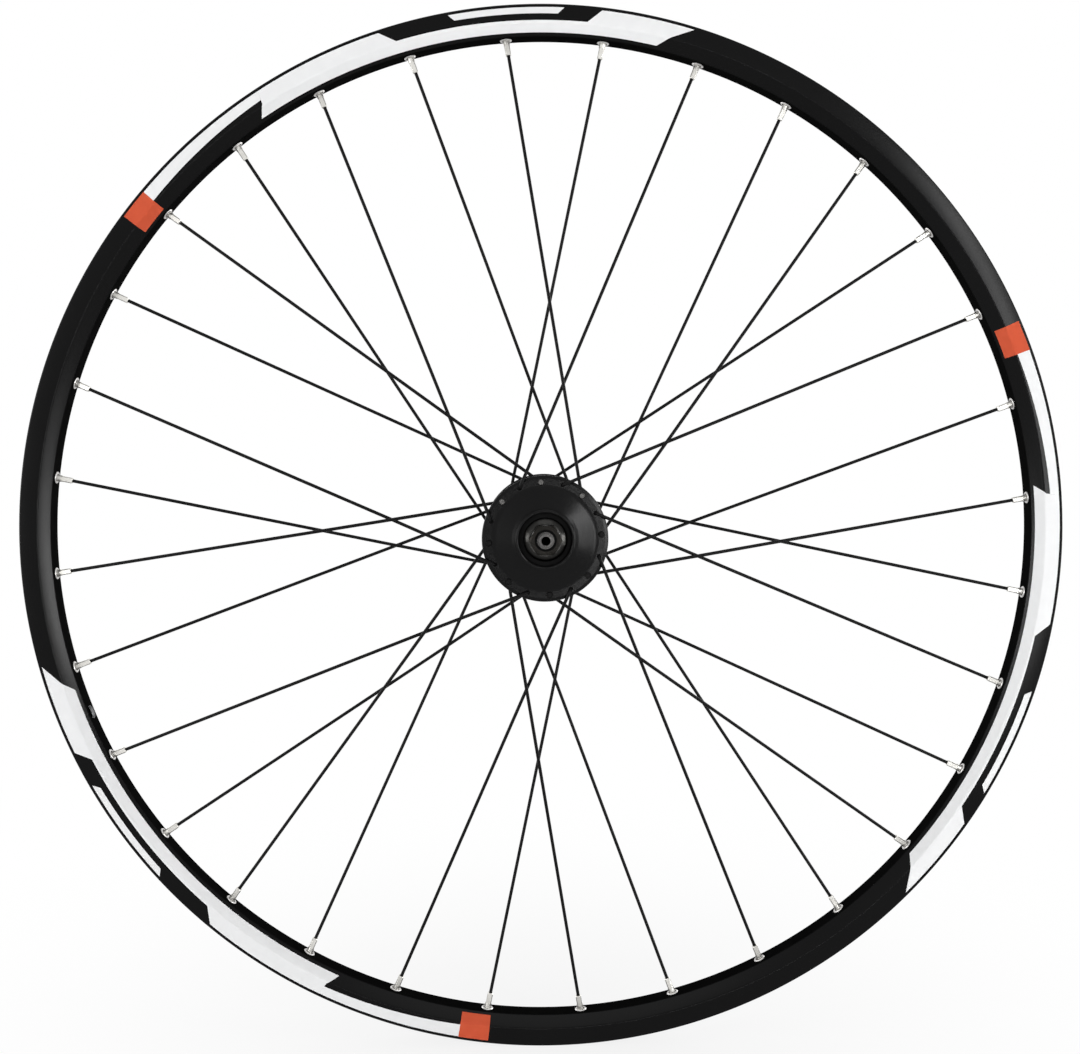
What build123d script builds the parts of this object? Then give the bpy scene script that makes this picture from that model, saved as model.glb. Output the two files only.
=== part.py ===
from build123d import *
import os
from math import cos, hypot, pi, radians, sin, tan

os.makedirs("parts", exist_ok=True)

# A 28-inch front wheel for a disc brake, in millimetres. The origin is the centre of the wheel,
# +Y is the axle towards the rotor side, +X is forward and +Z is up.

# Rim
bead_seat_diameter = 622.0
rim_inner_width = 19.0
hook_width = 2.75
rim_depth = 17.3
hook_height = 6.6
hook_lip = 1.0
hook_nose = 1.7
hook_slope = 1.0
shoulder_height = 6.3
bed_width = 11.7
bed_wall = 1.8
side_wall = 1.6
well_wall = 1.2
well_width = 10.4
well_depth = 2.4
bead_shelf_width = 2.6
bead_shelf_fall = 0.2
bed_corner_round = 1.6
shoulder_round = 2.0
hook_round = 0.9
access_hole_diameter = 8.6
valve_hole_diameter = 8.5

# Lacing
spoke_count = 32
crossings = 2
first_hole_angle = 4.48
valve_place_in_holes = 17.5
weave_gap = 0.2

# Spokes
spoke_diameter = 2.0
elbow_radius = 2.6
elbow_room_outside = 1.2
elbow_room_inside = 0.75
weave_radius = 40.0
spoke_head_overlap = 0.7
spoke_head_height = 1.1
spoke_head_taper = 28.0
spoke_end_in_nipple = 2.6

# Nipples and eyelets
nipple_wall = 1.0
nipple_below_pivot = 10.9
nipple_flat_depth = 0.35
nipple_square_length = 6.6
nipple_tip_bevel = 0.5
nipple_head_height = 2.6
nipple_head_overhang = 0.55
nipple_seat_height = 1.0
nipple_crown_height = 0.7
nipple_crown_inset = 0.8
nipple_swing = 0.9
eyelet_wall = 0.35
eyelet_flange_overhang = 0.8
eyelet_flange_height = 0.59
eyelet_flange_edge = 0.22
eyelet_flange_bevel = 0.35
eyelet_lip_overhang = 0.5
eyelet_lip_height = 0.6
eyelet_lip_bevel = 0.2

# Hub shell
flange_diameter = 75.2
flange_thickness = 3.2
flange_hole_inset = 4.07
flange_edge_round = 0.7
flange_bevel_width = 2.0
flange_bevel_height = 0.5
right_flange_offset = 31.6
left_flange_offset = 18.0
barrel_radius = 16.5
barrel_bore_radius = 12.0
web_bevel = 6.0
web_round = 5.0
cone_face_inset = 3.0
cone_face_height = 3.0
cone_face_round = 10.0
neck_wall = 2.6
neck_root_width = 1.8
neck_root_height = 0.6
neck_root_round = 2.5
neck_lip_round = 1.2
rotor_neck_radius = 20.0
rotor_neck_bevel = 4.0
rotor_seat_inset = 10.5
rotor_seat_depth = 10.0
rotor_seat_rise = 1.0
rotor_bolt_circle = 44.0
rotor_bolt_count = 6
rotor_bolt_hole_diameter = 4.2
rotor_bolt_hole_depth = 9.0
rotor_lobe_radius = 5.2
rotor_spigot_diameter = 34.9

# Axle and locknuts
over_locknut = 100.0
axle_diameter = 10.0
axle_end_diameter = 8.9
axle_bore_diameter = 5.2
axle_overhang = 4.5
axle_end_chamfer = 0.6
locknut_height = 4.0
locknut_flats = 17.0
locknut_bevel_angle = 30.0
locknut_bevel_inset = 0.1
washer_thickness = 1.0
washer_radius = 8.3

# Bearings and seals, stacked inwards from the lock washers
ball_diameter = 4.7625
balls_a_side = 10
ball_spacing = 0.4525
ball_depth_in_cup = 1.6
cup_wall = 2.57
cup_depth = 5.7
cup_land = 0.4
cup_recess = 2.2
cone_shoulder_rise = 0.3
cone_nose_length = 1.6
cone_flat_depth = 1.1
cone_flat_length = 2.2
cap_wall = 4.0
cap_height = 3.4
cap_recess = 0.4
cap_bevel_width = 2.8
cap_bevel_height = 2.0
seal_width = 2.8
seal_height = 4.0
seal_lip_thickness = 1.4
seal_recess = 2.0

# Clearances of the fits
seat_clearance = 0.02
press_clearance = 0.01
thread_clearance = 0.02
race_clearance = 0.05
seal_clearance = 0.4
eyelet_seat_clearance = 0.03
flange_hole_clearance = 0.6
nipple_bore_clearance = 0.1
nipple_head_clearance = 0.25

# Rim sizes that follow from the ones above
rim_half = rim_inner_width / 2 + hook_width
hook_half = rim_inner_width / 2
channel_half = hook_half + hook_lip
bed_half = bed_width / 2
well_half = well_width / 2
bead_seat_radius = bead_seat_diameter / 2
rim_outer_radius = bead_seat_radius + hook_height
bed_radius = rim_outer_radius - rim_depth
shoulder_radius = bed_radius + shoulder_height
shelf_radius = bead_seat_radius - bead_shelf_fall
well_radius = bead_seat_radius - well_depth
shoulder_lean = (rim_half - bed_half) / shoulder_height
shoulder_wall_across = side_wall * hypot(1, shoulder_lean)
well_lean = (channel_half - bead_shelf_width - well_half) / (shelf_radius - well_radius)
well_wall_across = well_wall * hypot(1, well_lean)
chamber_half = rim_half - side_wall
chamber_bed_radius = bed_radius + bed_wall
chamber_bed_half = bed_half + bed_wall * shoulder_lean - shoulder_wall_across
chamber_shoulder_radius = bed_radius + (chamber_half - bed_half + shoulder_wall_across) / shoulder_lean
chamber_well_radius = well_radius - well_wall
chamber_well_half = well_half - well_wall * well_lean + well_wall_across
chamber_shelf_radius = shelf_radius - well_wall
chamber_shelf_half = chamber_well_half + (shelf_radius - well_radius) * well_lean

# Lacing sizes that follow
hole_pitch = 360 / spoke_count
hub_hole_turn = 2 * crossings * hole_pitch
valve_angle = first_hole_angle + valve_place_in_holes * hole_pitch
spoke_radius = spoke_diameter / 2
elbow_rise_outside = spoke_radius + elbow_room_outside
elbow_rise_inside = spoke_radius + elbow_room_inside
flange_hole_radius = (spoke_diameter + flange_hole_clearance) / 2
spoke_head_radius = flange_hole_radius + spoke_head_overlap
nipple_bore_radius = spoke_radius + nipple_bore_clearance
nipple_radius = spoke_radius + nipple_wall
nipple_square = 2 * (nipple_radius - nipple_flat_depth)
eyelet_bore_radius = nipple_radius + nipple_swing / 2
eyelet_sleeve_radius = eyelet_bore_radius + eyelet_wall
eyelet_flange_radius = eyelet_sleeve_radius + eyelet_flange_overhang
eyelet_lip_radius = eyelet_sleeve_radius + eyelet_lip_overhang
eyelet_top = bed_wall + eyelet_lip_height
pivot_radius = bed_radius + eyelet_top / 2
nipple_head_radius = eyelet_bore_radius + nipple_head_overhang
nipple_head_start = eyelet_top / 2 + nipple_head_clearance
nipple_head_top = nipple_head_start + nipple_head_height

# Hub sizes that follow, counted from the axle's middle along it and from its axis outwards
locknut_end = over_locknut / 2
axle_end = locknut_end + axle_overhang
washer_end = locknut_end - locknut_height
cone_end = washer_end - washer_thickness
cone_shoulder_end = cone_end - cone_flat_length
cap_start = cone_shoulder_end - cap_height
neck_end = cone_shoulder_end + cap_recess
seal_end = neck_end - seal_recess
seal_floor = seal_end - seal_height
seal_lip_end = seal_floor + seal_lip_thickness
cup_mouth = seal_floor - cup_recess
cup_floor = cup_mouth - cup_depth
ball_offset = cup_mouth - ball_depth_in_cup
cone_nose = ball_offset - cone_nose_length
rotor_seat = locknut_end - rotor_seat_inset
right_face = right_flange_offset + flange_thickness / 2
right_back = right_flange_offset - flange_thickness / 2
left_face = left_flange_offset + flange_thickness / 2
left_back = left_flange_offset - flange_thickness / 2
thread_radius = axle_diameter / 2 + thread_clearance
ball_radius = ball_diameter / 2
race_radius = ball_radius + race_clearance
ball_circle_radius = balls_a_side * (ball_diameter + ball_spacing) / (2 * pi)
race_outer_radius = ball_circle_radius + race_radius
race_inner_radius = ball_circle_radius - race_radius
cup_radius = race_outer_radius + cup_wall
cup_hole_radius = ball_circle_radius - cup_land
cone_shoulder_radius = ball_circle_radius + cone_shoulder_rise
cap_radius = cone_shoulder_radius + cap_wall
seal_pocket_radius = cap_radius + seal_width
neck_radius = seal_pocket_radius + neck_wall
neck_root_radius = neck_radius + neck_root_width
spigot_radius = rotor_spigot_diameter / 2
flange_radius = flange_diameter / 2
hub_hole_radius = flange_radius - flange_hole_inset
cone_face_radius = hub_hole_radius - cone_face_inset
web_radius = barrel_radius + web_bevel


def around(angle, radius, offset=0.0):
    """A point at an angle round the axle, counted from forward towards up."""
    turn = radians(angle)
    return Vector(radius * cos(turn), offset, radius * sin(turn))


def radial_plane(angle, radius):
    """A plane square to the radius at an angle, with its local X along the axle."""
    return Plane(origin=around(angle, radius), x_dir=(0, 1, 0), z_dir=around(angle, 1))


def corners_at(section, axis, place, reach=0.01):
    """The corners of a section that lie at one place along an axis."""
    return section.vertices().filter_by_position(axis, place - reach, place + reach)


hole_angles = [first_hole_angle + hole_pitch * n for n in range(spoke_count)]

# Rim: one hollow section with a spoke bed, sloped shoulders, hooked sides and a well for the beads

with BuildPart() as rim:
    with BuildSketch() as rim_section:
        with BuildLine():
            Polyline(
                (bed_radius, bed_half),
                (shoulder_radius, rim_half),
                (rim_outer_radius, rim_half),
                (rim_outer_radius, hook_half),
                (rim_outer_radius - hook_nose, hook_half),
                (rim_outer_radius - hook_nose - hook_slope, channel_half),
                (bead_seat_radius, channel_half),
                (shelf_radius, channel_half - bead_shelf_width),
                (well_radius, well_half),
            )
            mirror(about=Plane.XZ)
            Line((bed_radius, bed_half), (bed_radius, -bed_half))
            Line((well_radius, well_half), (well_radius, -well_half))
        make_face()
        fillet(corners_at(rim_section, Axis.X, bed_radius), bed_corner_round)
        fillet(corners_at(rim_section, Axis.X, shoulder_radius), shoulder_round)
        fillet(corners_at(rim_section, Axis.X, rim_outer_radius), hook_round)
        with BuildLine():
            Polyline(
                (chamber_bed_radius, chamber_bed_half),
                (chamber_shoulder_radius, chamber_half),
                (chamber_shelf_radius, chamber_half),
                (chamber_shelf_radius, chamber_shelf_half),
                (chamber_well_radius, chamber_well_half),
            )
            mirror(about=Plane.XZ)
            Line((chamber_bed_radius, chamber_bed_half), (chamber_bed_radius, -chamber_bed_half))
            Line((chamber_well_radius, chamber_well_half), (chamber_well_radius, -chamber_well_half))
        make_face(mode=Mode.SUBTRACT)
    revolve(axis=Axis.Y)
    with Locations(*[radial_plane(angle, bed_radius + bed_wall / 2) for angle in hole_angles]):
        Cylinder(eyelet_sleeve_radius, 2 * bed_wall, mode=Mode.SUBTRACT)
    with Locations(*[radial_plane(angle, well_radius - well_wall / 2) for angle in hole_angles]):
        Cylinder(access_hole_diameter / 2, 2 * well_wall, mode=Mode.SUBTRACT)
    with Locations(radial_plane(valve_angle, (bed_radius + well_radius) / 2)):
        Cylinder(valve_hole_diameter / 2, rim_depth, mode=Mode.SUBTRACT)
rim.part.label = "rim"
export_step(rim.part, "parts/rim.step")

# Eyelets: a sleeve through the spoke bed, with a flange below it and a rolled lip above it

with BuildPart() as eyelet:
    with BuildSketch(Plane.XZ):
        with BuildLine():
            Polyline(
                (eyelet_bore_radius, -eyelet_seat_clearance - eyelet_flange_height),
                (eyelet_flange_radius - eyelet_flange_bevel, -eyelet_seat_clearance - eyelet_flange_height),
                (eyelet_flange_radius, -eyelet_seat_clearance - eyelet_flange_edge),
                (eyelet_flange_radius, -eyelet_seat_clearance),
                (eyelet_sleeve_radius - press_clearance, -eyelet_seat_clearance),
                (eyelet_sleeve_radius - press_clearance, bed_wall + press_clearance),
                (eyelet_lip_radius, bed_wall + press_clearance),
                (eyelet_lip_radius - eyelet_lip_bevel, eyelet_top),
                (eyelet_bore_radius, eyelet_top),
                close=True,
            )
        make_face()
    revolve(axis=Axis.Z)

with BuildPart() as eyelets:
    with Locations(*[radial_plane(angle, bed_radius) for angle in hole_angles]):
        add(eyelet.part)
eyelets.part.label = "eyelets"
export_step(eyelets.part, "parts/eyelets.step")


# Lacing: where each spoke bends at its flange, weaves at its outer crossing and enters its nipple


def lacing(number):
    """Points of one spoke: under its head, its elbow corner, its crossing and its pivot in the rim."""
    rim_angle = hole_angles[number]
    side = -1 if number % 2 == 0 else 1
    outside = number % 4 in (2, 3)
    lean = 1 if outside else -1
    hub_angle = rim_angle + lean * hub_hole_turn
    face = right_face if side < 0 else left_face
    back = right_back if side < 0 else left_back
    outer_corner = face + elbow_rise_outside
    inner_corner = back - elbow_rise_inside

    # Two spokes of one side meet midway between their rim holes
    half_pitch = radians(hole_pitch)
    hub_half = radians(hub_hole_turn) - half_pitch
    hub_side = hub_hole_radius * sin(hub_half)
    part_way = hub_side / (hub_side + pivot_radius * sin(half_pitch))
    hub_out = hub_hole_radius * cos(hub_half)
    cross_radius = hub_out + part_way * (pivot_radius * cos(half_pitch) - hub_out)
    middle = (outer_corner + inner_corner) / 2 * (1 - part_way)
    weave = (spoke_diameter + weave_gap) / 2

    seat = back - seat_clearance if outside else face + seat_clearance
    corner = outer_corner if outside else inner_corner
    woven = middle - weave if outside else middle + weave
    head = around(hub_angle, hub_hole_radius, side * seat)
    elbow = around(hub_angle, hub_hole_radius, side * corner)
    crossing = around(rim_angle + lean * hole_pitch, cross_radius, side * woven)
    pivot = around(rim_angle, pivot_radius)
    return head, elbow, crossing, pivot


laced = [lacing(number) for number in range(spoke_count)]

# Spokes: a headed wire, bent at the flange and again, slightly, where it weaves

for number, (head, elbow, crossing, pivot) in enumerate(laced):
    shank = (elbow - head).normalized()
    end = pivot + (pivot - crossing).normalized() * spoke_end_in_nipple
    with BuildPart() as spoke:
        with BuildLine() as run:
            FilletPolyline(head, elbow, crossing, end, radius=[elbow_radius, weave_radius])
        with BuildSketch(Plane(origin=head, z_dir=shank)):
            Circle(spoke_radius)
        sweep(path=run.line)
        with BuildSketch(Plane(origin=head, z_dir=-shank)):
            Circle(spoke_head_radius)
        extrude(amount=spoke_head_height, taper=spoke_head_taper)
    spoke.part.label = f"spoke_{number + 1:02d}"
    export_step(spoke.part, f"parts/spoke_{number + 1:02d}.step")

# Nipples: a round body with a squared tip for the key and a head that bears in the eyelet

with BuildPart() as nipple:
    with BuildSketch(Plane.XZ):
        with BuildLine():
            Polyline(
                (nipple_bore_radius, -nipple_below_pivot),
                (nipple_radius - nipple_tip_bevel, -nipple_below_pivot),
                (nipple_radius, nipple_tip_bevel - nipple_below_pivot),
                (nipple_radius, nipple_head_start),
                (nipple_head_radius, nipple_head_start + nipple_seat_height),
                (nipple_head_radius, nipple_head_top - nipple_crown_height),
                (nipple_head_radius - nipple_crown_inset, nipple_head_top),
                (nipple_bore_radius, nipple_head_top),
                close=True,
            )
        make_face()
    revolve(axis=Axis.Z)
    with BuildSketch(Plane.XY.offset(-nipple_below_pivot)):
        Rectangle(4 * nipple_radius, 4 * nipple_radius)
        Rectangle(nipple_square, nipple_square, mode=Mode.SUBTRACT)
    extrude(amount=nipple_square_length, mode=Mode.SUBTRACT)

nipple_planes = [
    Plane(origin=pivot, x_dir=(0, 1, 0), z_dir=pivot - crossing)
    for head, elbow, crossing, pivot in laced
]
with BuildPart() as nipples:
    with Locations(*nipple_planes):
        add(nipple.part)
nipples.part.label = "nipples"
export_step(nipples.part, "parts/nipples.step")

# Hub shell: a bored barrel with two spoke flanges, a plain neck on the right and a rotor seat on the left

with BuildPart() as hub_shell:
    with BuildSketch() as shell_section:
        with BuildLine():
            Polyline(
                (seal_pocket_radius, -neck_end),
                (neck_radius, -neck_end),
                (neck_radius, -right_face - cone_face_height - neck_root_height),
                (neck_root_radius, -right_face - cone_face_height),
                (cone_face_radius, -right_face),
                (flange_radius - flange_bevel_width, -right_face),
                (flange_radius, flange_bevel_height - right_face),
                (flange_radius, -right_back),
                (web_radius, -right_back),
                (barrel_radius, web_bevel - right_back),
                (barrel_radius, left_back - web_bevel),
                (web_radius, left_back),
                (flange_radius, left_back),
                (flange_radius, left_face - flange_bevel_height),
                (flange_radius - flange_bevel_width, left_face),
                (rotor_neck_radius + rotor_neck_bevel, left_face),
                (rotor_neck_radius, left_face + rotor_neck_bevel),
                (rotor_neck_radius, rotor_seat),
                (spigot_radius, rotor_seat),
                (spigot_radius, neck_end),
                (seal_pocket_radius, neck_end),
                (seal_pocket_radius, seal_floor),
                (cup_radius, seal_floor),
                (cup_radius, cup_floor),
                (barrel_bore_radius, cup_floor),
                (barrel_bore_radius, -cup_floor),
                (cup_radius, -cup_floor),
                (cup_radius, -seal_floor),
                (seal_pocket_radius, -seal_floor),
                close=True,
            )
        make_face()
        fillet(corners_at(shell_section, Axis.X, flange_radius), flange_edge_round)
        fillet(corners_at(shell_section, Axis.X, barrel_radius), web_round)
        fillet(corners_at(shell_section, Axis.X, web_radius), web_round)
        fillet(corners_at(shell_section, Axis.Y, -neck_end), neck_lip_round)
        fillet(corners_at(shell_section, Axis.X, neck_root_radius), neck_root_round)
        fillet(corners_at(shell_section, Axis.X, cone_face_radius), cone_face_round)
    revolve(axis=Axis.Y)

    # Rotor seat with a lobe for each bolt
    with BuildSketch(Plane.XZ.offset(-rotor_seat)):
        Circle(rotor_neck_radius + rotor_seat_rise)
        with PolarLocations(rotor_bolt_circle / 2, rotor_bolt_count):
            Circle(rotor_lobe_radius)
        Circle(rotor_neck_radius - rotor_seat_rise, mode=Mode.SUBTRACT)
    extrude(amount=rotor_seat_depth)
    with BuildSketch(Plane.XZ.offset(-rotor_seat)):
        with PolarLocations(rotor_bolt_circle / 2, rotor_bolt_count):
            Circle(rotor_bolt_hole_diameter / 2)
    extrude(amount=rotor_bolt_hole_depth, mode=Mode.SUBTRACT)

    # Spoke holes, one under each spoke head
    with BuildSketch(Plane.XZ.offset(right_face)):
        for head, elbow, crossing, pivot in laced[0::2]:
            with Locations((head.X, head.Z)):
                Circle(flange_hole_radius)
    extrude(amount=-flange_thickness, mode=Mode.SUBTRACT)
    with BuildSketch(Plane.XZ.offset(-left_back)):
        for head, elbow, crossing, pivot in laced[1::2]:
            with Locations((head.X, head.Z)):
                Circle(flange_hole_radius)
    extrude(amount=-flange_thickness, mode=Mode.SUBTRACT)
hub_shell.part.label = "hub_shell"
export_step(hub_shell.part, "parts/hub_shell.step")

# Bearings, seals and locknuts, the same on both sides

for side_name, side in (("right", -1), ("left", 1)):
    with BuildPart() as cup:
        with BuildSketch():
            with BuildLine():
                CenterArc((ball_circle_radius, side * ball_offset), race_radius, 0, -90 * side)
                Polyline(
                    (race_outer_radius, side * ball_offset),
                    (race_outer_radius, side * cup_mouth),
                    (cup_radius - press_clearance, side * cup_mouth),
                    (cup_radius - press_clearance, side * (cup_floor + press_clearance)),
                    (cup_hole_radius, side * (cup_floor + press_clearance)),
                    (cup_hole_radius, side * (ball_offset - race_radius)),
                    (ball_circle_radius, side * (ball_offset - race_radius)),
                )
            make_face()
        revolve(axis=Axis.Y)
    cup.part.label = f"{side_name}_cup"
    export_step(cup.part, f"parts/{side_name}_cup.step")

    with BuildPart() as balls:
        for step in range(balls_a_side):
            with Locations(around(360 * step / balls_a_side, ball_circle_radius, side * ball_offset)):
                Sphere(ball_radius)
    balls.part.label = f"{side_name}_balls"
    export_step(balls.part, f"parts/{side_name}_balls.step")

    with BuildPart() as cone:
        with BuildSketch():
            with BuildLine():
                CenterArc((ball_circle_radius, side * ball_offset), race_radius, 180, -90 * side)
                Polyline(
                    (ball_circle_radius, side * (ball_offset + race_radius)),
                    (cone_shoulder_radius, side * (ball_offset + race_radius)),
                    (cone_shoulder_radius, side * cone_end),
                    (thread_radius, side * cone_end),
                    (thread_radius, side * cone_nose),
                    (race_inner_radius, side * cone_nose),
                    (race_inner_radius, side * ball_offset),
                )
            make_face()
        revolve(axis=Axis.Y)
        with BuildSketch(Plane.XZ.offset(-side * cone_end)):
            Rectangle(4 * cone_shoulder_radius, 4 * cone_shoulder_radius)
            Rectangle(
                2 * (cone_shoulder_radius - cone_flat_depth),
                4 * cone_shoulder_radius,
                mode=Mode.SUBTRACT,
            )
        extrude(amount=side * cone_flat_length, mode=Mode.SUBTRACT)
    cone.part.label = f"{side_name}_cone"
    export_step(cone.part, f"parts/{side_name}_cone.step")

    with BuildPart() as dust_cap:
        with BuildSketch():
            with BuildLine():
                Polyline(
                    (cone_shoulder_radius + press_clearance, side * cap_start),
                    (cap_radius, side * cap_start),
                    (cap_radius, side * (cone_shoulder_end - cap_bevel_height)),
                    (cap_radius - cap_bevel_width, side * cone_shoulder_end),
                    (cone_shoulder_radius + press_clearance, side * cone_shoulder_end),
                    close=True,
                )
            make_face()
        revolve(axis=Axis.Y)
    dust_cap.part.label = f"{side_name}_dust_cap"
    export_step(dust_cap.part, f"parts/{side_name}_dust_cap.step")

    with BuildPart() as seal:
        with BuildSketch():
            with BuildLine():
                Polyline(
                    (cone_shoulder_radius + seal_clearance, side * (seal_floor + press_clearance)),
                    (seal_pocket_radius - press_clearance, side * (seal_floor + press_clearance)),
                    (seal_pocket_radius - press_clearance, side * seal_end),
                    (cap_radius + seal_clearance, side * seal_end),
                    (cap_radius + seal_clearance, side * seal_lip_end),
                    (cone_shoulder_radius + seal_clearance, side * seal_lip_end),
                    close=True,
                )
            make_face()
        revolve(axis=Axis.Y)
    seal.part.label = f"{side_name}_seal"
    export_step(seal.part, f"parts/{side_name}_seal.step")

    with BuildPart() as washer:
        with BuildSketch(Plane.XZ.offset(-side * cone_end)):
            Circle(washer_radius)
            Circle(thread_radius, mode=Mode.SUBTRACT)
        extrude(amount=-side * washer_thickness)
    washer.part.label = f"{side_name}_lock_washer"
    export_step(washer.part, f"parts/{side_name}_lock_washer.step")

    with BuildPart() as locknut:
        with BuildSketch(Plane.XZ.offset(-side * washer_end)):
            RegularPolygon(locknut_flats / 2, 6, major_radius=False)
            Circle(thread_radius, mode=Mode.SUBTRACT)
        extrude(amount=-side * locknut_height)
        with BuildSketch():
            with BuildLine():
                bevel_start = locknut_flats / 2 - locknut_bevel_inset
                bevel_fall = bevel_start * tan(radians(locknut_bevel_angle))
                Polyline(
                    (bevel_start, side * locknut_end),
                    (2 * bevel_start, side * locknut_end),
                    (2 * bevel_start, side * (locknut_end - bevel_fall)),
                    close=True,
                )
            make_face()
        revolve(axis=Axis.Y, mode=Mode.SUBTRACT)
    locknut.part.label = f"{side_name}_locknut"
    export_step(locknut.part, f"parts/{side_name}_locknut.step")

# Axle: a hollow rod, threaded on the real wheel as far as the locknuts, with ends turned down for the fork

with BuildPart() as axle:
    with BuildSketch(Plane.XZ):
        Circle(axle_end_diameter / 2)
    extrude(amount=axle_end, both=True)
    tips = axle.faces().filter_by(Axis.Y)
    chamfer(tips.edges(), axle_end_chamfer)
    with BuildSketch(Plane.XZ):
        Circle(axle_diameter / 2)
    extrude(amount=locknut_end, both=True)
    with BuildSketch(Plane.XZ):
        Circle(axle_bore_diameter / 2)
    extrude(amount=axle_end, both=True, mode=Mode.SUBTRACT)
axle.part.label = "axle"
export_step(axle.part, "parts/axle.step")
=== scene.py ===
import math

import bmesh
import bpy
from mathutils import Matrix, Vector


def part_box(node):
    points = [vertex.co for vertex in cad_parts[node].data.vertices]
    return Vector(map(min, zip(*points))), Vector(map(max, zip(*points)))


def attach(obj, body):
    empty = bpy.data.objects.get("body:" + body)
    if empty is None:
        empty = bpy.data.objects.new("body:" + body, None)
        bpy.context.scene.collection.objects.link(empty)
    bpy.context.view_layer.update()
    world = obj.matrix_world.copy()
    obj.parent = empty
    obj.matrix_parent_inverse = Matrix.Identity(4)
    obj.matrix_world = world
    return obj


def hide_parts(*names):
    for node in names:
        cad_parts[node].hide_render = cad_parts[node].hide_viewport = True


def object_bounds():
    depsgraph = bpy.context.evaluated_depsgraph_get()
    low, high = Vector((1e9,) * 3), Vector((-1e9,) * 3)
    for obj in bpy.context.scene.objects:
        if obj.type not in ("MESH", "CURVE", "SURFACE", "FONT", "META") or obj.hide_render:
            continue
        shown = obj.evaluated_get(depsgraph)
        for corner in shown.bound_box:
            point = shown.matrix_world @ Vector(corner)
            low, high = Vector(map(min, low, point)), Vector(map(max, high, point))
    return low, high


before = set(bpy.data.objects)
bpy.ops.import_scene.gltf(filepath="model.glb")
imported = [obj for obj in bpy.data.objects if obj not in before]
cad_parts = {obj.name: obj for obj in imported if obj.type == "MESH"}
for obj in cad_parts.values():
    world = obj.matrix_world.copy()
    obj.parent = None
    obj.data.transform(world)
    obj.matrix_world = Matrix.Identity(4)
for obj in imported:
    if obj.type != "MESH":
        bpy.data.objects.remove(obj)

cad_low, cad_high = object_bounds()
MM = 0.001

# Rim section, in metres, half of it: the other half is its mirror image
RIM_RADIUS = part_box("rim")[1].z
RIM_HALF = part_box("rim")[1].y
BED_RADIUS = RIM_RADIUS - 17.3 * MM
BED_HALF = 5.85 * MM
BED_ROUND = 1.6 * MM
BED_WALL = 1.8 * MM
SHOULDER_RADIUS = BED_RADIUS + 6.3 * MM
SHOULDER_ROUND = 2.0 * MM
SIDE_WALL = 1.6 * MM
HOOK_ROUND = 0.9 * MM
HOOK_HALF = 9.5 * MM
HOOK_NOSE = 1.7 * MM
HOOK_SLOPE = 1.0 * MM
CHANNEL_HALF = HOOK_HALF + 1.0 * MM
BEAD_SEAT = RIM_RADIUS - 6.6 * MM
SHELF_RADIUS = BEAD_SEAT - 0.2 * MM
SHELF_HALF = CHANNEL_HALF - 2.6 * MM
WELL_RADIUS = BEAD_SEAT - 2.4 * MM
WELL_HALF = 5.2 * MM
WELL_WALL = 1.2 * MM

# Holes of the rim, by their radii, and the valve's place counted in spoke holes from the first one
SPOKE_COUNT = 32
FIRST_HOLE = math.radians(4.48)
VALVE_PLACE = 17.5
SPOKE_HOLE = 2.8 * MM
ACCESS_HOLE = 4.3 * MM
VALVE_HOLE = 4.25 * MM

# Steps of the rim's mesh: round the wheel, round a hole, beside a hole and round a corner of the section
RIM_STEPS_A_HOLE = 16
RIM_STEPS = SPOKE_COUNT * RIM_STEPS_A_HOLE
RIM_STEP = 2 * math.pi / RIM_STEPS
SPOKE_STEPS = [RIM_STEPS_A_HOLE * number for number in range(SPOKE_COUNT)]
VALVE_STEP = round(VALVE_PLACE * RIM_STEPS_A_HOLE)
HOLE_STEPS = 32
HOLE_PATCH = 2
CORNER_STEPS = 7
DULL_CORNER_STEPS = 4

# Finishes of the rim, in the order of its material slots
PAINT, BARE, MATT = 0, 1, 2

# Edges that turn by more than this aren't smoothed
SHARP_EDGE = math.radians(32)

# Print on the rim: corners of its fields, as degrees clockwise from the edge of the square, and radius
PRINT_TURNS = (139.3, 21.1, 260.3)
PRINT_THICKNESS = 0.06 * MM
PRINT_SUNK = 0.03 * MM
PRINT_STEP = 0.5
SAME_RADIUS = 0.001 * MM
PRINT_INNER = BED_RADIUS + 1.8 * MM
PRINT_MIDDLE = BED_RADIUS + 7.6 * MM
PRINT_NOTCH = PRINT_MIDDLE + 2.3 * MM
PRINT_THIN = BED_RADIUS + 11.5 * MM
PRINT_OUTER = RIM_RADIUS - 2.1 * MM
SQUARE_WIDTH = 3.4
SQUARE_INNER = PRINT_INNER - 0.4 * MM
SQUARE_OUTER = PRINT_OUTER + 0.2 * MM
WHITE_FIELDS = (
    ((0.0, PRINT_MIDDLE), (0.0, PRINT_OUTER), (16.5, PRINT_OUTER), (16.28, PRINT_NOTCH)),
    ((15.2, PRINT_INNER), (16.2, PRINT_MIDDLE), (63.55, PRINT_MIDDLE), (62.1, PRINT_INNER)),
    ((16.2, PRINT_MIDDLE), (16.5, PRINT_OUTER), (31.0, PRINT_OUTER), (32.6, PRINT_MIDDLE)),
    ((39.35, PRINT_THIN), (38.75, PRINT_OUTER), (51.4, PRINT_OUTER), (50.7, PRINT_THIN)),
    ((54.0, PRINT_MIDDLE), (55.5, PRINT_OUTER), (65.7, PRINT_OUTER), (63.55, PRINT_MIDDLE)),
)
ORANGE_SQUARE = (
    (-SQUARE_WIDTH, SQUARE_INNER),
    (-SQUARE_WIDTH, SQUARE_OUTER),
    (0.0, SQUARE_OUTER),
    (0.0, SQUARE_INNER),
)

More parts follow.
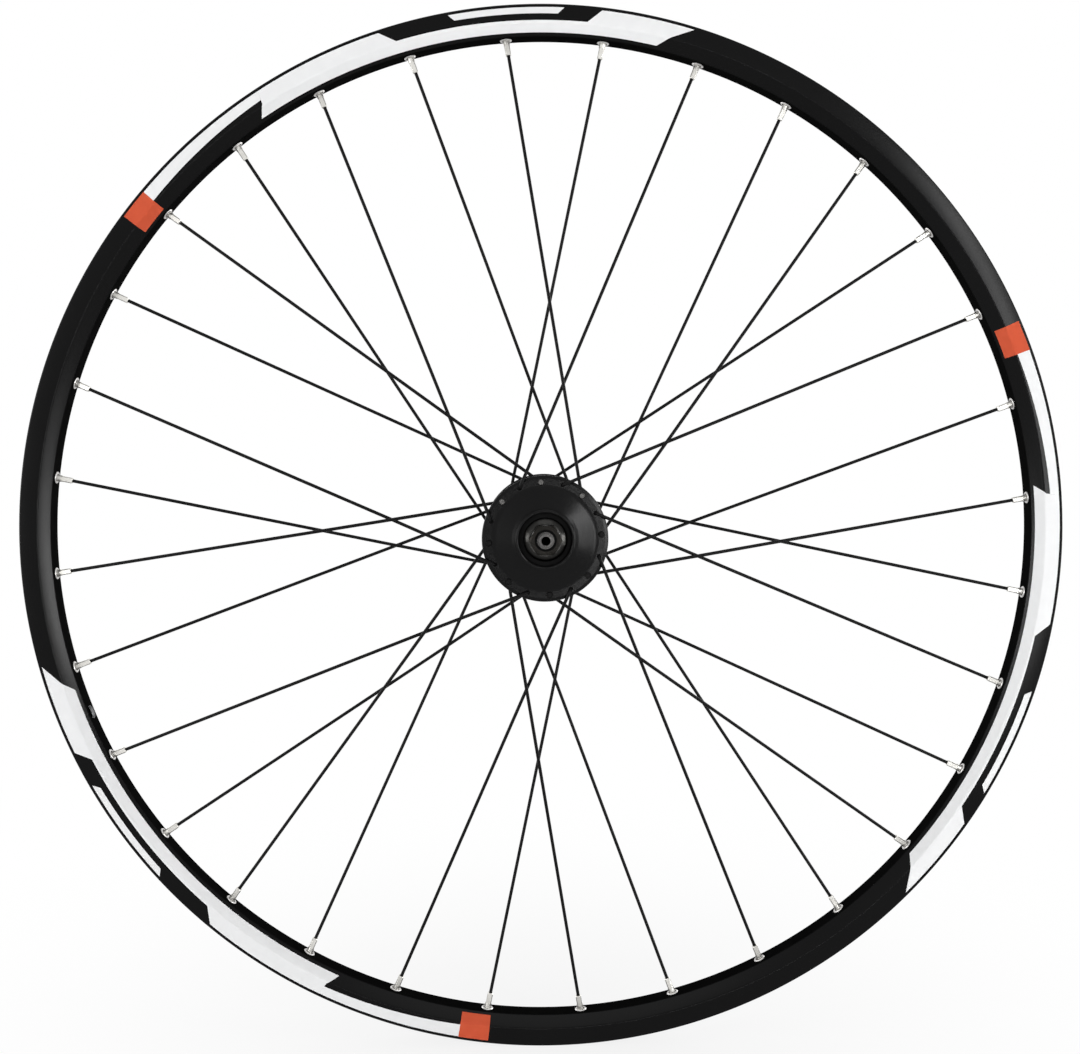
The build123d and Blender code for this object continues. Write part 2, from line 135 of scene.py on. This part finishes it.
# Spokes whose heads get a painted highlight, and the outer faces of the flanges along the axle
HEADS_PAINTED_LIT = (9, 10, 13, 14, 17, 18)
RIGHT_FLANGE_FACE = 33.2 * MM
LEFT_FLANGE_FACE = 19.6 * MM

# Bores painted dark as shade, by their radii
AXLE_SHADED_BORE = 2.7 * MM
NUT_SHADED_BORE = 6.4 * MM

# Colours that change over a surface, from one shade to the other
PAINT_BLACK = (0.0010, 0.0010, 0.0011), (0.0024, 0.0024, 0.0025)
BED_BLACK = (0.0025, 0.0025, 0.0026), (0.006, 0.006, 0.0058)
DRILLED_ALUMINIUM = (0.70, 0.71, 0.72), (0.88, 0.88, 0.89)
WHITE_INK = (0.845, 0.85, 0.855), (0.895, 0.90, 0.905)
ORANGE_INK = (0.60, 0.092, 0.042), (0.68, 0.115, 0.055)
# The wire's light end is a painted highlight on some spoke heads; a faint share of it is random tone
BLACK_WIRE_TO_PAINTED_HIGHLIGHT = (0.003, 0.003, 0.0032), (0.15, 0.147, 0.143)
NICKEL = (0.53, 0.52, 0.49), (0.66, 0.65, 0.62)
EYELET_STEEL = (0.46, 0.45, 0.44), (0.58, 0.57, 0.56)
HUB_BLACK = (0.0010, 0.0010, 0.0011), (0.0022, 0.0022, 0.0023)
RUBBER = (0.003, 0.003, 0.003), (0.007, 0.007, 0.007)
FLOOR_GREY = (0.72, 0.72, 0.72), (0.80, 0.80, 0.80)

# Colours of turned steel where it is unshaded, and of the painted shade in its bores
AXLE_STEEL = (0.100, 0.097, 0.095)
NUT_STEEL = (0.0165, 0.0155, 0.0140)
CAP_STEEL = (0.031, 0.0305, 0.029)
GROUND_STEEL = (0.74, 0.74, 0.74)
BORE_PAINTED_SHADE = (0.002, 0.002, 0.002)
BORE_SHADE_ROUGHNESS = 0.9

# Floor, in metres, and the shadow on it: its depth, and how fast it fades with the distance squared
FLOOR_REACH = 12.0
FLOOR_GAP = 0.2 * MM
FLOOR_GRAIN = 0.4
SHADOW_DEPTH = 0.16
SHADOW_FADE = 14.0

# Light of the room, and lamps by name, place, width and height in metres, and watts
ROOM_LIGHT = 0.07
LAMPS = (
    ("front_right_box", (0.75, -1.3, 0.16), (0.16, 0.82), 6.8),
    ("right_box", (1.9, -0.70, 0.08), (0.18, 0.78), 12.3),
    ("left_box", (-1.6, -1.4, 0.1), (0.7, 1.6), 21.5),
    ("left_strip", (-1.9, -0.70, 0.13), (0.12, 0.70), 6.6),
    ("low_right_box", (0.86, -0.41, -0.235), (0.10, 0.15), 0.42),
    ("front_strip", (0.12, -1.3, -0.09), (0.05, 0.20), 0.60),
    ("top_box", (0.0, -0.6, 1.8), (1.6, 0.9), 4),
    ("back_left_box", (-1.6, 1.2, 0.5), (1.2, 1.2), 14),
    ("back_right_box", (1.6, 1.2, 0.5), (1.2, 1.2), 22),
)

# Camera: square on, a little above the axle, with its sensor and lens in millimetres
EYE = Vector((-16.67, -811.43, 51.59)) * MM
AHEAD = Vector((0.01745, 0.99821, -0.05721))
UPRIGHT = Vector((0.0, 0.05722, 0.99836))
SENSOR_WIDTH = 36.0
LENS = 43.90


class Value:
    """A number or colour that changes over a surface: a shader socket with Python's arithmetic."""

    def __init__(self, finish, socket):
        self.finish = finish
        self.socket = socket

    def math(self, operation, first, second):
        return self.finish.node("ShaderNodeMath", {"operation": operation}, {0: first, 1: second})

    def __add__(self, other):
        return self.math("ADD", self, other)

    def __radd__(self, other):
        return self.math("ADD", other, self)

    def __sub__(self, other):
        return self.math("SUBTRACT", self, other)

    def __rsub__(self, other):
        return self.math("SUBTRACT", other, self)

    def __mul__(self, other):
        return self.math("MULTIPLY", self, other)

    def __rmul__(self, other):
        return self.math("MULTIPLY", other, self)

    def __pow__(self, other):
        return self.math("POWER", self, other)

    def __rpow__(self, other):
        return self.math("POWER", other, self)

    def __lt__(self, other):
        return self.math("LESS_THAN", self, other)

    def __gt__(self, other):
        return self.math("GREATER_THAN", self, other)


class Finish:
    """One material, or the world, and the nodes that make it."""

    def __init__(self, name, owner=None):
        self.owner = owner or bpy.data.materials.new(name)
        self.owner.use_nodes = True
        self.tree = self.owner.node_tree

    def node(self, kind, settings=None, inputs=None, output=0):
        """Adds a node: its settings come first, then the values or links of its sockets."""
        made = self.tree.nodes.new(kind)
        for name, value in (settings or {}).items():
            setattr(made, name, value)
        for name, value in (inputs or {}).items():
            self.feed(made.inputs[name], value)
        return Value(self, made.outputs[output])

    def feed(self, socket, value):
        if isinstance(value, Value):
            self.tree.links.new(value.socket, socket)
        else:
            socket.default_value = value

    def place(self):
        """The point on the piece, in metres, in the frame of the wheel."""
        return self.node("ShaderNodeTexCoord", output="Object")

    def noise(self, size, detail, stretch=None):
        """Soft noise from 0 to 1 whose lumps are about the given size, drawn out along an axis by stretch."""
        place = self.place()
        if stretch:
            place = self.node("ShaderNodeMapping", {}, {"Vector": place, "Scale": stretch})
        return self.node(
            "ShaderNodeTexNoise", {}, {"Vector": place, "Scale": 1 / size, "Detail": detail}, "Fac"
        )

    def distance(self, axes):
        """Distance from the middle of the wheel, in metres, along the axes that are 1."""
        kept = self.node(
            "ShaderNodeVectorMath", {"operation": "MULTIPLY"}, {0: self.place(), 1: axes}, "Vector"
        )
        return self.node("ShaderNodeVectorMath", {"operation": "LENGTH"}, {0: kept}, "Value")

    def axle_radius(self):
        """Distance from the axle's axis, in metres."""
        return self.distance((1, 0, 1))

    def along_axle(self):
        """Place along the axle, in metres from the middle of the wheel towards its left side."""
        return self.node("ShaderNodeSeparateXYZ", {}, {0: self.place()}, "Y")

    def turned(self, pitch):
        """Fine rings left by a turning tool, from -1 to 1."""
        run = (self.axle_radius() + self.along_axle()) * (2 * math.pi / pitch)
        return self.node("ShaderNodeMath", {"operation": "SINE"}, {0: run})

    def seen(self):
        """1 for what the eye sees, straight or in a mirror or glass, and 0 for light on the object."""
        straight = self.node("ShaderNodeLightPath", output="Is Camera Ray")
        mirrored = self.node("ShaderNodeLightPath", output="Is Glossy Ray")
        through = self.node("ShaderNodeLightPath", output="Is Transmission Ray")
        any_of_them = straight + mirrored + through
        return self.node("ShaderNodeMath", {"operation": "MINIMUM"}, {0: any_of_them, 1: 1.0})

    def blend(self, share, first, second):
        """A colour between two, by a share that changes over the surface."""
        colours = {"Factor": share, "A": (*first, 1), "B": (*second, 1)}
        return self.node("ShaderNodeMix", {"data_type": "RGBA"}, colours, "Result")

    def bump(self, height, depth, strength):
        return self.node(
            "ShaderNodeBump", {}, {"Height": height, "Distance": depth, "Strength": strength}, "Normal"
        )

    def surface(self, **inputs):
        """Feeds the shader's sockets, named in small letters with underscores. Returns the material."""
        shader = self.tree.nodes["Principled BSDF"]
        for name, value in inputs.items():
            self.feed(shader.inputs[name.replace("_", " ").title().replace("Ior", "IOR")], value)
        return self.owner


def rim_paint():
    """Satin black paint: a faint peel, and dust and handling that change its gloss a little."""
    finish = Finish("satin_black_paint")
    peel = finish.noise(0.9 * MM, detail=1.0)
    handling = finish.noise(45 * MM, detail=4.0)
    return finish.surface(
        base_color=finish.blend(handling, *PAINT_BLACK),
        roughness=0.17 + 0.06 * handling + 0.03 * peel,
        normal=finish.bump(peel, depth=0.012 * MM, strength=0.6),
        specular_ior_level=0.10,
    )


def matt_black():
    """Thin dull paint in the spoke bed and inside the rim, with dust in its grain."""
    finish = Finish("matt_black_bed")
    dust = finish.noise(8 * MM, detail=4.0)
    grain = finish.noise(0.4 * MM, detail=2.0)
    return finish.surface(
        base_color=finish.blend(dust, *BED_BLACK),
        roughness=0.7 + 0.2 * grain,
        normal=finish.bump(grain, depth=0.01 * MM, strength=0.5),
        specular_ior_level=0.0,
    )


def bare_aluminium():
    """Aluminium where the drill has cut through the paint."""
    finish = Finish("drilled_aluminium")
    marks = finish.noise(0.25 * MM, detail=2.0)
    return finish.surface(
        base_color=finish.blend(marks, *DRILLED_ALUMINIUM),
        metallic=1.0,
        roughness=0.3 + 0.2 * marks,
        normal=finish.bump(marks, depth=0.01 * MM, strength=0.5),
    )


def print_ink(name, dark, light):
    """Printed film on the rim: even colour with a faint mottle."""
    finish = Finish(name)
    mottle = finish.noise(6 * MM, detail=3.0)
    grain = finish.noise(0.5 * MM, detail=1.0)
    return finish.surface(
        base_color=finish.blend(mottle, dark, light),
        roughness=0.44 + 0.08 * mottle + 0.04 * grain,
        normal=finish.bump(grain, depth=0.004 * MM, strength=0.5),
        specular_ior_level=0.02,
    )


def spoke_black(name, painted_lit_heads=False):
    """Drawn wire blackened in a bath: nearly black, with a soft metal gloss. Some heads get a painted
    highlight, a lighter metal colour.
    """
    finish = Finish(name)
    streak = finish.noise(1.2 * MM, detail=3.0)
    patch = finish.noise(18 * MM, detail=2.0)
    tone_and_highlight, metal = 0.04 * patch, 0.0
    if painted_lit_heads:
        # Painted highlight: heads beyond the outer faces of the flanges get a lighter metal colour, standing
        # in for the light they catch
        along = finish.along_axle()
        metal = (along < -RIGHT_FLANGE_FACE) + (along > LEFT_FLANGE_FACE)
        tone_and_highlight = tone_and_highlight + metal * (0.35 + 0.5 * streak)
    return finish.surface(
        base_color=finish.blend(tone_and_highlight, *BLACK_WIRE_TO_PAINTED_HIGHLIGHT),
        metallic=metal,
        roughness=0.32 + 0.14 * streak,
        normal=finish.bump(streak, depth=0.01 * MM, strength=0.4),
        specular_ior_level=0.07,
    )


def plated(name, dark, light):
    """Bright plating, a little uneven, with fine scratches from the spoke key."""
    finish = Finish(name)
    cloud = finish.noise(2.5 * MM, detail=3.0)
    scratch = finish.noise(0.12 * MM, detail=2.0, stretch=(1.0, 0.12, 1.0))
    return finish.surface(
        base_color=finish.blend(cloud, dark, light),
        metallic=1.0,
        roughness=0.30 + 0.16 * scratch + 0.08 * cloud,
        normal=finish.bump(scratch, depth=0.006 * MM, strength=0.5),
    )


def hub_black():
    """Turned hub under satin black: faint rings show through the coat."""
    finish = Finish("turned_black_hub")
    rings = finish.turned(0.32 * MM)
    cloud = finish.noise(14 * MM, detail=3.0)
    return finish.surface(
        base_color=finish.blend(cloud, *HUB_BLACK),
        roughness=0.19 + 0.05 * cloud + 0.02 * rings,
        normal=finish.bump(rings, depth=0.0007 * MM, strength=0.5),
        specular_ior_level=0.13,
    )


def turned_steel(name, bright, roughness, pitch, shaded_bore=None):
    """Steel turned on a lathe: rings, and a grain across the face. Inside a bore the colour is painted shade,
    near black and rough.
    """
    finish = Finish(name)
    rings = finish.turned(pitch)
    grain = finish.noise(0.8 * MM, detail=3.0)
    # Painted shade: inside the bore radius the steel is near black and rough, standing in for the shade in
    # the hole
    unshaded = finish.axle_radius() > shaded_bore if shaded_bore else 1.0
    return finish.surface(
        base_color=finish.blend(unshaded * (0.55 + 0.45 * grain), BORE_PAINTED_SHADE, bright),
        metallic=unshaded,
        roughness=BORE_SHADE_ROUGHNESS + unshaded * (roughness - BORE_SHADE_ROUGHNESS + 0.10 * grain + 0.04 * rings),
        normal=finish.bump(rings, depth=0.003 * MM, strength=0.6),
        specular_ior_level=0.05,
    )


def seal_rubber():
    """Matt black rubber with a fine moulded grain."""
    finish = Finish("moulded_rubber")
    grain = finish.noise(0.3 * MM, detail=2.0)
    dust = finish.noise(5 * MM, detail=2.0)
    return finish.surface(
        base_color=finish.blend(dust, *RUBBER),
        roughness=0.62 + 0.2 * dust,
        normal=finish.bump(grain, depth=0.02 * MM, strength=0.5),
        specular_ior_level=0.04,
    )


def face_outward(mesh):
    """Turns every face of a mesh to the outside."""
    shell = bmesh.new()
    shell.from_mesh(mesh)
    bmesh.ops.recalc_face_normals(shell, faces=shell.faces)
    shell.to_mesh(mesh)
    shell.free()


class Skin:
    """Points and faces of a mesh in the making."""

    def __init__(self):
        self.points = []
        self.faces = []
        self.slots = []
        self.slot = 0

    def add(self, point):
        self.points.append(point)
        return len(self.points) - 1

    def face(self, corners):
        self.faces.append(corners)
        self.slots.append(self.slot)

    def piece(self, name, materials):
        mesh = bpy.data.meshes.new(name)
        mesh.from_pydata(self.points, [], self.faces)
        for material in materials:
            mesh.materials.append(material)
        mesh.polygons.foreach_set("material_index", self.slots)
        mesh.validate()
        face_outward(mesh)
        mesh.shade_smooth()
        mesh.set_sharp_from_angle(angle=SHARP_EDGE)
        made = bpy.data.objects.new(name, mesh)
        bpy.context.scene.collection.objects.link(made)
        return made


def around(angle, radius, offset):
    """A point at an angle round the axle, counted from forward towards up."""
    return (radius * math.cos(angle), offset, radius * math.sin(angle))


def rounded(points, rounds):
    """A run of points with the corners named in rounds turned into arcs of that radius."""
    run = []
    for number, point in enumerate(points):
        corner = Vector(point)
        if number not in rounds:
            run.append(corner)
            continue
        back = (Vector(points[number - 1]) - corner).normalized()
        ahead = (Vector(points[number + 1]) - corner).normalized()
        half = back.angle(ahead) / 2
        reach = rounds[number] / math.tan(half)
        centre = corner + (back + ahead).normalized() * (rounds[number] / math.sin(half))
        start = corner + back * reach - centre
        turn = start.angle_signed(corner + ahead * reach - centre)
        for step in range(CORNER_STEPS + 1):
            run.append(centre + Matrix.Rotation(-turn * step / CORNER_STEPS, 2) @ start)
    return run


def ring(skin, radius, offset):
    return [skin.add(around(FIRST_HOLE + step * RIM_STEP, radius, offset)) for step in range(RIM_STEPS)]


def strip(skin, first, second, skip=()):
    """Quads between two rings, without the steps in skip."""
    for step in range(RIM_STEPS):
        if step not in skip:
            after = (step + 1) % RIM_STEPS
            skin.face((first[step], first[after], second[after], second[step]))


def zip_loops(skin, outer, inner, centre, across, along):
    """Triangles between two loops that go the same way round a centre, paired by their angles."""

    def bearing(index):
        arm = Vector(skin.points[index]) - centre
        return math.atan2(arm.dot(across), arm.dot(along))

    def sorted_loop(loop):
        return sorted((bearing(index), index) for index in loop)

    def at(loop, number):
        turns, place = divmod(number, len(loop))
        angle, index = loop[place]
        return angle + 2 * math.pi * turns, index

    outer, inner = sorted_loop(outer), sorted_loop(inner)
    outer_at, inner_at = 0, 0
    while outer_at < len(outer) or inner_at < len(inner):
        outer_angle, outer_next = at(outer, outer_at + 1)
        inner_angle, inner_next = at(inner, inner_at + 1)
        outer_here, inner_here = at(outer, outer_at)[1], at(inner, inner_at)[1]
        if inner_at >= len(inner) or (outer_at < len(outer) and outer_angle <= inner_angle):
            skin.face((outer_here, outer_next, inner_here))
            outer_at += 1
        else:
            skin.face((outer_here, inner_next, inner_here))
            inner_at += 1


def holed_band(skin, low, high, radius, holes):
    """A band between two rings with a round hole at each step in holes. Returns each hole's loop."""
    patch = range(-HOLE_PATCH, HOLE_PATCH + 1)
    strip(skin, low, high, {(step + side) % RIM_STEPS for step in holes for side in patch[:-1]})
    across = Vector((0.0, 1.0, 0.0))
    loops = {}
    for step, hole in holes.items():
        angle = FIRST_HOLE + step * RIM_STEP
        out = Vector(around(angle, 1.0, 0.0))
        along = Vector((-math.sin(angle), 0.0, math.cos(angle)))
        loop = []
        for turn in range(HOLE_STEPS):
            bearing = 2 * math.pi * turn / HOLE_STEPS
            side = hole * math.cos(bearing)
            height = math.sqrt(radius ** 2 - side ** 2)
            loop.append(skin.add(out * height + along * side + across * hole * math.sin(bearing)))
        border = [(step + side) % RIM_STEPS for side in patch]
        outline = [low[at] for at in border] + [high[at] for at in border]
        zip_loops(skin, outline, loop, out * radius, across, along)
        loops[step] = loop
    return loops


def hole_walls(skin, outer, inner):
    """Walls of the holes through one side of the rim, unpainted metal in the valve hole."""
    for step, loop in outer.items():
        other = inner[step]
        skin.slot = BARE if step == VALVE_STEP else MATT
        for turn in range(HOLE_STEPS):
            after = (turn + 1) % HOLE_STEPS
            skin.face((loop[turn], loop[after], other[after], other[turn]))


def rim_side():
    """The outside of the rim's section, from the spoke bed to the well, as radius and offset."""
    return rounded(
        [
            (BED_RADIUS, 0.0),
            (BED_RADIUS, BED_HALF),
            (SHOULDER_RADIUS, RIM_HALF),
            (RIM_RADIUS, RIM_HALF),
            (RIM_RADIUS, HOOK_HALF),
            (RIM_RADIUS - HOOK_NOSE, HOOK_HALF),
            (RIM_RADIUS - HOOK_NOSE - HOOK_SLOPE, CHANNEL_HALF),
            (BEAD_SEAT, CHANNEL_HALF),
            (SHELF_RADIUS, SHELF_HALF),
            (WELL_RADIUS, WELL_HALF),
        ],
        {1: BED_ROUND, 2: SHOULDER_ROUND, 3: HOOK_ROUND, 4: HOOK_ROUND},
    )[1:]


def rim_chamber():
    """The hollow inside the rim, from its floor over the spoke bed to its roof under the well."""
    lean = (RIM_HALF - BED_HALF) / (SHOULDER_RADIUS - BED_RADIUS)
    across = SIDE_WALL * math.hypot(1, lean)
    well_lean = (SHELF_HALF - WELL_HALF) / (SHELF_RADIUS - WELL_RADIUS)
    roof_half = WELL_HALF - WELL_WALL * well_lean + WELL_WALL * math.hypot(1, well_lean)
    half = RIM_HALF - SIDE_WALL
    return [
        (BED_RADIUS + BED_WALL, BED_HALF + BED_WALL * lean - across),
        (BED_RADIUS + (half - BED_HALF + across) / lean, half),
        (SHELF_RADIUS - WELL_WALL, half),
        (SHELF_RADIUS - WELL_WALL, roof_half + (SHELF_RADIUS - WELL_RADIUS) * well_lean),
        (WELL_RADIUS - WELL_WALL, roof_half),
    ]


def wall_of_rings(skin, section, dull):
    """Both mirrored walls of a section, the first few strips matt. Returns the low and high end rings."""
    high = [ring(skin, radius, offset) for radius, offset in section]
    low = [ring(skin, radius, -offset) for radius, offset in section]
    for number in range(len(section) - 1):
        skin.slot = MATT if number < dull else PAINT
        strip(skin, high[number], high[number + 1])
        strip(skin, low[number + 1], low[number])
    return low[0], high[0], low[-1], high[-1]


def rim_piece():
    """The hollow rim, with its spoke, access and valve holes."""
    skin = Skin()
    bed_holes = {step: SPOKE_HOLE for step in SPOKE_STEPS} | {VALVE_STEP: VALVE_HOLE}
    well_holes = {step: ACCESS_HOLE for step in SPOKE_STEPS} | {VALVE_STEP: VALVE_HOLE}
    side, chamber = rim_side(), rim_chamber()
    bed_low, bed_high, well_low, well_high = wall_of_rings(skin, side, DULL_CORNER_STEPS)
    floor_low, floor_high, roof_low, roof_high = wall_of_rings(skin, chamber, len(chamber))
    bed = holed_band(skin, bed_low, bed_high, side[0][0], bed_holes)
    well = holed_band(skin, well_low, well_high, side[-1][0], well_holes)
    floor = holed_band(skin, floor_low, floor_high, chamber[0][0], bed_holes)
    roof = holed_band(skin, roof_low, roof_high, chamber[-1][0], well_holes)
    hole_walls(skin, bed, floor)
    hole_walls(skin, well, roof)
    return skin.piece("hollow_rim", [rim_paint(), bare_aluminium(), matt_black()])


def side_offset(radius, side):
    """How far from the middle plane the outside of the rim is, at a radius between the bed and the edge."""
    for (low, low_offset), (high, high_offset) in zip(side, side[1:]):
        if low <= radius < high:
            return low_offset + (radius - low) / (high - low) * (high_offset - low_offset)


def field_shares(start_in, start_out, end_in, side):
    """Shares of a field's width that have a row of points. A level field follows the rounded shoulder."""
    if abs(start_in.y - end_in.y) > SAME_RADIUS:
        return [0.0, 1.0]
    reach = start_out.y - start_in.y
    top = min(start_out.y, SHOULDER_RADIUS + SHOULDER_ROUND)
    radii = [radius for radius, offset in side if start_in.y < radius < top and offset > BED_HALF]
    return [0.0, *sorted({(radius - start_in.y) / reach for radius in radii}), 1.0]


def printed_field(skin, corners, turn, face, side):
    """A thin raised field between four corners: inner and outer at its start, outer and inner at its end."""
    start_in, start_out, end_out, end_in = [Vector(corner) for corner in corners]
    shares = field_shares(start_in, start_out, end_in, side)
    steps = round(abs(end_in.x - start_in.x) / PRINT_STEP)

    def row(share, lift):
        start, end = start_in.lerp(start_out, share), end_in.lerp(end_out, share)
        points = []
        for step in range(steps + 1):
            degrees, radius = start.lerp(end, step / steps)
            angle = math.radians(turn - degrees)
            if face > 0:
                angle = math.pi - angle
            offset = side_offset(radius, side) + lift
            points.append(skin.add(around(angle, radius, face * offset)))
        return points

    top = [row(share, PRINT_THICKNESS) for share in shares]
    bottom = [row(share, -PRINT_SUNK) for share in shares]
    for near, far, near_under, far_under in zip(top, top[1:], bottom, bottom[1:]):
        for step in range(steps):
            skin.face((near[step], near[step + 1], far[step + 1], far[step]))
            skin.face((near_under[step], far_under[step], far_under[step + 1], near_under[step + 1]))
        skin.face((near[0], far[0], far_under[0], near_under[0]))
        skin.face((near[steps], near_under[steps], far_under[steps], far[steps]))
    for step in range(steps):
        skin.face((top[0][step], bottom[0][step], bottom[0][step + 1], top[0][step + 1]))
        skin.face((top[-1][step], top[-1][step + 1], bottom[-1][step + 1], bottom[-1][step]))


def print_pieces():
    """White stripes and plain squares on both sides of the rim, three sets a side."""
    side = rim_side()
    white, orange = Skin(), Skin()
    for face in (-1, 1):
        for turn in PRINT_TURNS:
            for field in WHITE_FIELDS:
                printed_field(white, field, turn, face, side)
            printed_field(orange, ORANGE_SQUARE, turn, face, side)
    return (
        white.piece("white_stripes", [print_ink("white_print", *WHITE_INK)]),
        orange.piece("orange_squares", [print_ink("orange_print", *ORANGE_INK)]),
    )


def dress(node, material):
    """Gives a node of the frame a finish of its own."""
    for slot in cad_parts[node].material_slots:
        slot.link = "OBJECT"
        slot.material = material


def floor_piece():
    """A wide pale floor under the wheel. It is white to the eye, but for the shadow near the wheel."""
    skin = Skin()
    low = cad_low.z - FLOOR_GAP
    corners = ((-1, -1), (1, -1), (1, 1), (-1, 1))
    skin.face([skin.add((x * FLOOR_REACH, y * FLOOR_REACH, low)) for x, y in corners])
    finish = Finish("pale_floor")
    finish.surface(
        base_color=finish.blend(finish.noise(FLOOR_GRAIN, detail=2.0), *FLOOR_GREY),
        roughness=0.8,
    )
    lit = Value(finish, finish.tree.nodes["Principled BSDF"].outputs[0])
    white = finish.node("ShaderNodeEmission", {}, {"Color": (1, 1, 1, 1), "Strength": 1.0})
    away = finish.distance((1, 1, 0))
    shade = SHADOW_DEPTH * math.e ** (away * away * -SHADOW_FADE)
    mixed = finish.node("ShaderNodeMixShader", {}, {0: finish.seen() * (1 - shade), 1: lit, 2: white})
    finish.feed(finish.tree.nodes["Material Output"].inputs["Surface"], mixed)
    made = skin.piece("floor", [finish.owner])


def studio_world():
    """White to the eye and in reflections; as light on the object, an even dim room."""
    world = bpy.data.worlds.new("studio")
    bpy.context.scene.world = world
    finish = Finish("studio", world)
    world.cycles.sampling_method = "NONE"
    background = finish.tree.nodes["Background"]
    background.inputs["Color"].default_value = (1, 1, 1, 1)
    finish.feed(background.inputs["Strength"], ROOM_LIGHT + (1 - ROOM_LIGHT) * finish.seen())


def soft_box(name, place, size, power):
    """A rectangular lamp that faces the middle of the wheel and isn't seen itself."""
    lamp = bpy.data.lights.new(name, "AREA")
    lamp.shape = "RECTANGLE"
    lamp.size, lamp.size_y = size
    lamp.energy = power
    made = bpy.data.objects.new(name, lamp)
    made.location = place
    made.rotation_euler = (-Vector(place)).to_track_quat("-Z", "Y").to_euler()
    made.visible_camera = False
    bpy.context.scene.collection.objects.link(made)


def place_camera():
    """The camera at its place, upright, looking ahead."""
    lens = bpy.data.cameras.new("eye")
    lens.sensor_width = SENSOR_WIDTH
    lens.lens = LENS
    camera = bpy.data.objects.new("eye", lens)
    back = -AHEAD.normalized()
    right = UPRIGHT.cross(back).normalized()
    axes = Matrix((right, back.cross(right), back)).transposed()
    camera.matrix_world = Matrix.Translation(EYE) @ axes.to_4x4()
    bpy.context.scene.collection.objects.link(camera)
    bpy.context.scene.camera = camera


# Rim and its print
rim = rim_piece()
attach(rim, "wheel")
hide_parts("rim")
for piece in print_pieces():
    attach(piece, "wheel")

# Spokes, nipples and eyelets
wire = spoke_black("blackened_wire")
# Spokes whose heads get a painted highlight
wire_with_painted_lit_heads = spoke_black("blackened_wire_painted_lit_head", painted_lit_heads=True)
for number in range(1, SPOKE_COUNT + 1):
    dress(f"spoke_{number:02d}", wire_with_painted_lit_heads if number in HEADS_PAINTED_LIT else wire)
dress("nipples", plated("nickel_plating", *NICKEL))
dress("eyelets", plated("eyelet_steel", *EYELET_STEEL))

# Hub and axle
dress("hub_shell", hub_black())
# The axle's and the nuts' bores get painted shade
dress("axle", turned_steel("turned_axle", AXLE_STEEL, roughness=0.26, pitch=0.22 * MM, shaded_bore=AXLE_SHADED_BORE))
nut = turned_steel("nut_steel", NUT_STEEL, roughness=0.24, pitch=0.30 * MM, shaded_bore=NUT_SHADED_BORE)
cap = turned_steel("cap_steel", CAP_STEEL, roughness=0.12, pitch=0.25 * MM)
race = turned_steel("ground_steel", GROUND_STEEL, roughness=0.12, pitch=0.15 * MM)
rubber = seal_rubber()
for side in ("right", "left"):
    dress(f"{side}_locknut", nut)
    dress(f"{side}_lock_washer", nut)
    dress(f"{side}_dust_cap", cap)
    dress(f"{side}_seal", rubber)
    for part in ("cup", "cone", "balls"):
        dress(f"{side}_{part}", race)

# Studio
floor_piece()
studio_world()
for name, place, size, power in LAMPS:
    soft_box(name, place, size, power)
place_camera()
bpy.context.scene.view_settings.view_transform = "Standard"
